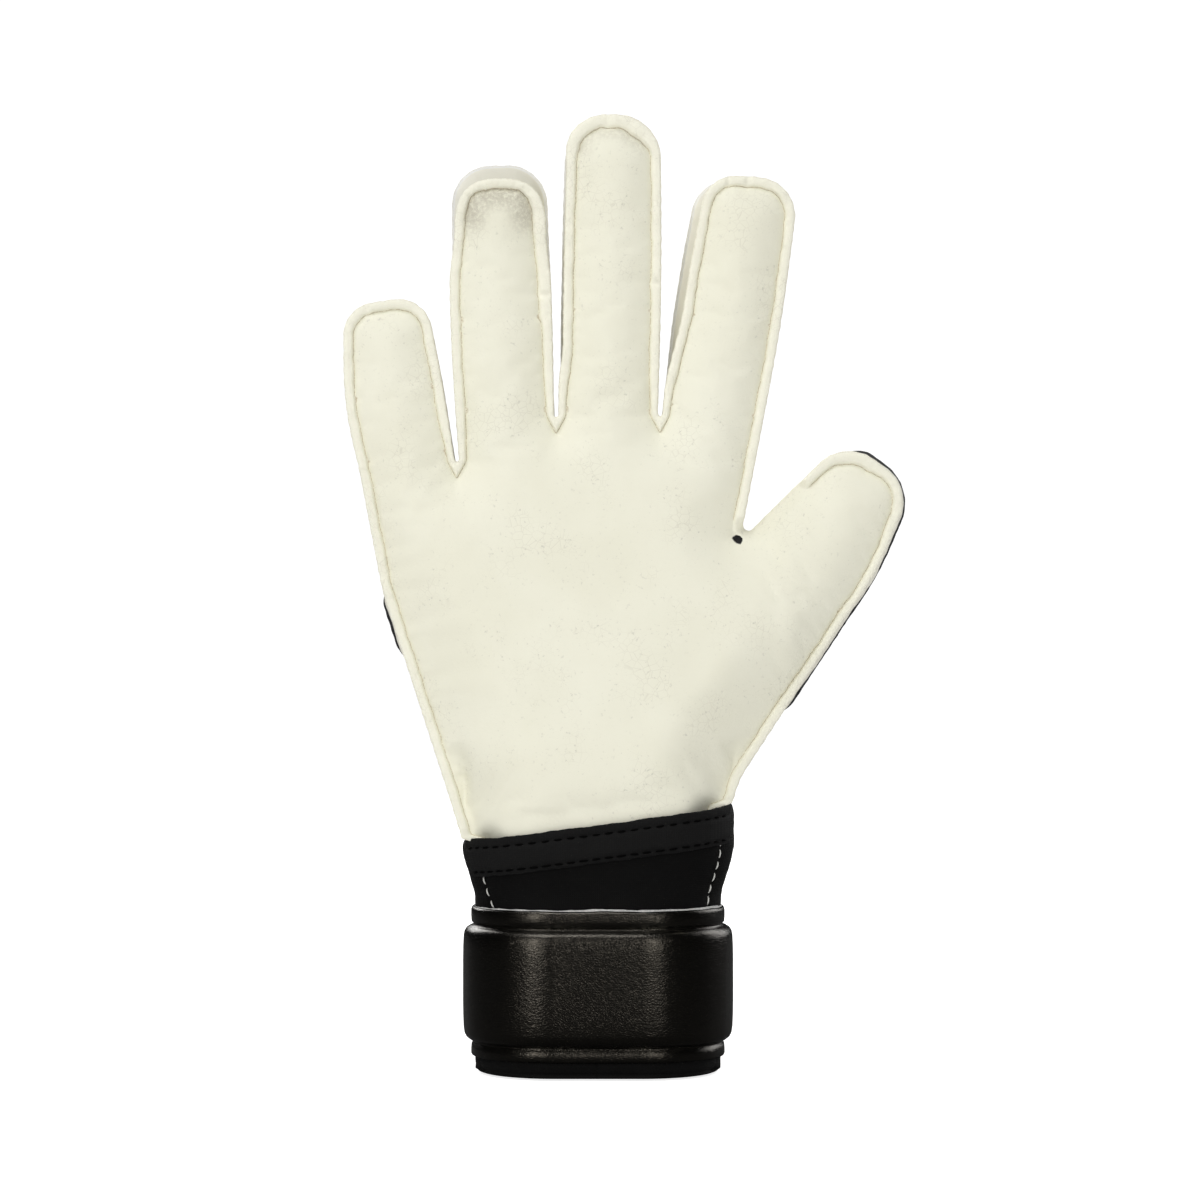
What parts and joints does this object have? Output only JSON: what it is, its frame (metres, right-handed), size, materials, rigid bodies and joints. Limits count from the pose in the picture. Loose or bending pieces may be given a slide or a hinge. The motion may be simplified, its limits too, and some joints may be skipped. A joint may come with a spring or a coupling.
{
  "type": "goalkeeper glove",
  "caption": "Foam-padded goalkeeper's glove with fingers that bend, a stitched cuff and a wrist strap whose tongue opens.",
  "frame": {"origin": "centre of the wrist opening, in the plane of the cuff's lower edge", "axes": "+Z from the cuff to the fingertips, +X to the thumb side, the palm faces -Y"},
  "size_m": [0.1577, 0.0586, 0.27],
  "materials": {
    "palm_latex": "matte latex foam with a fine speckle",
    "gusset_latex": "matte latex foam",
    "lining": "brushed knit",
    "back_black": "matte embossed foam",
    "back_white": "satin foam",
    "cuff_textile": "matte coated textile",
    "binding": "folded tape",
    "black_thread": "sewing thread",
    "white_thread": "sewing thread",
    "strap_facing": "grained coated leather",
    "strap_foam": "laminated foam",
    "loop_pile": "brushed loops",
    "hook_tape": "hook tape",
    "pull_tab": "moulded rubber"
  },
  "bodies": {
    "hand": {"back_foam": "back_black", "back_lining": "lining", "back_pads": "back_white", "cuff_back_panel": "cuff_textile", "cuff_hem_binding": "binding", "cuff_little_side_binding": "binding", "cuff_palm_panel": "cuff_textile", "cuff_reinforcement_band": "cuff_textile", "cuff_row_stitches": "black_thread", "cuff_side_stitches": "white_thread", "cuff_thumb_side_binding": "binding", "finger_crotch_gussets": "gusset_latex", "index_base_bend": "palm_latex", "little_base_bend": "palm_latex", "little_side_gusset": "gusset_latex", "middle_base_bend": "palm_latex", "palm_latex": "palm_latex", "palm_lining": "lining", "ring_base_bend": "palm_latex", "strap_facing": "strap_facing", "strap_foam": "strap_foam", "strap_loop_patch": "loop_pile", "thumb_side_gusset": "gusset_latex", "thumb_tip_bend": "palm_latex"},
    "index_base": {"index_base_palm": "palm_latex", "index_base_back": "back_white", "index_base_gusset": "gusset_latex", "index_tip_bend": "palm_latex"},
    "index_tip": {"index_tip_palm": "palm_latex", "index_tip_back": "back_white", "index_tip_gusset": "gusset_latex"},
    "middle_base": {"middle_base_palm": "palm_latex", "middle_base_back": "back_white", "middle_base_gusset": "gusset_latex", "middle_tip_bend": "palm_latex"},
    "middle_tip": {"middle_tip_palm": "palm_latex", "middle_tip_back": "back_white", "middle_tip_gusset": "gusset_latex"},
    "ring_base": {"ring_base_palm": "palm_latex", "ring_base_back": "back_white", "ring_base_gusset": "gusset_latex", "ring_tip_bend": "palm_latex"},
    "ring_tip": {"ring_tip_palm": "palm_latex", "ring_tip_back": "back_white", "ring_tip_gusset": "gusset_latex"},
    "little_base": {"little_base_palm": "palm_latex", "little_base_back": "back_white", "little_base_gusset": "gusset_latex", "little_tip_bend": "palm_latex"},
    "little_tip": {"little_tip_palm": "palm_latex", "little_tip_back": "back_white", "little_tip_gusset": "gusset_latex"},
    "thumb_tip": {"thumb_tip_palm": "palm_latex", "thumb_tip_back": "back_black", "thumb_tip_gusset": "gusset_latex"},
    "strap_tongue": {"tongue_foam": "strap_foam", "tongue_facing": "strap_facing", "tongue_hook_patch": "hook_tape", "tongue_pull_tab": "pull_tab"}
  },
  "joints": [
    {"name": "index_knuckle", "type": "hinge", "parent": "hand", "child": "index_base", "pos_m": [0.03462, -0.003, 0.19885], "axis": [0.9895, 0, -0.1444], "range_deg": [0, 75], "stiffness_Nm_per_rad": 0.06, "deforming": ["index_base_bend"]},
    {"name": "index_middle_joint", "type": "hinge", "parent": "index_base", "child": "index_tip", "pos_m": [0.03852, -0.003, 0.22557], "axis": [0.9895, 0, -0.1444], "range_deg": [0, 65], "stiffness_Nm_per_rad": 0.06, "deforming": ["index_tip_bend"]},
    {"name": "middle_knuckle", "type": "hinge", "parent": "hand", "child": "middle_base", "pos_m": [0.0031, -0.003, 0.199], "axis": [0.9999, 0, -0.014], "range_deg": [0, 75], "stiffness_Nm_per_rad": 0.06, "deforming": ["middle_base_bend"]},
    {"name": "middle_middle_joint", "type": "hinge", "parent": "middle_base", "child": "middle_tip", "pos_m": [0.00354, -0.003, 0.231], "axis": [0.9999, 0, -0.014], "range_deg": [0, 75], "stiffness_Nm_per_rad": 0.06, "deforming": ["middle_tip_bend"]},
    {"name": "ring_knuckle", "type": "hinge", "parent": "hand", "child": "ring_base", "pos_m": [-0.02687, -0.003, 0.199], "axis": [0.9997, 0, 0.0262], "range_deg": [0, 75], "stiffness_Nm_per_rad": 0.06, "deforming": ["ring_base_bend"]},
    {"name": "ring_middle_joint", "type": "hinge", "parent": "ring_base", "child": "ring_tip", "pos_m": [-0.02757, -0.003, 0.22599], "axis": [0.9997, 0, 0.0262], "range_deg": [0, 70], "stiffness_Nm_per_rad": 0.06, "deforming": ["ring_tip_bend"]},
    {"name": "little_knuckle", "type": "hinge", "parent": "hand", "child": "little_base", "pos_m": [-0.05536, -0.003, 0.18239], "axis": [0.9893, 0, 0.1461], "range_deg": [0, 60], "stiffness_Nm_per_rad": 0.06, "deforming": ["little_base_bend"]},
    {"name": "little_middle_joint", "type": "hinge", "parent": "little_base", "child": "little_tip", "pos_m": [-0.05799, -0.003, 0.2002], "axis": [0.9893, 0, 0.1461], "range_deg": [0, 50], "stiffness_Nm_per_rad": 0.06, "deforming": ["little_tip_bend"]},
    {"name": "thumb_fold", "type": "hinge", "parent": "hand", "child": "thumb_tip", "pos_m": [0.06181, -0.003, 0.14861], "axis": [0.7934, 0, -0.6088], "range_deg": [0, 60], "stiffness_Nm_per_rad": 0.06, "deforming": ["thumb_tip_bend"]},
    {"name": "strap_open", "type": "hinge", "parent": "hand", "child": "strap_tongue", "pos_m": [0.03386, 0.0162, 0.0257], "axis": [0, 0, -1], "range_deg": [0, 120]}
  ]
}
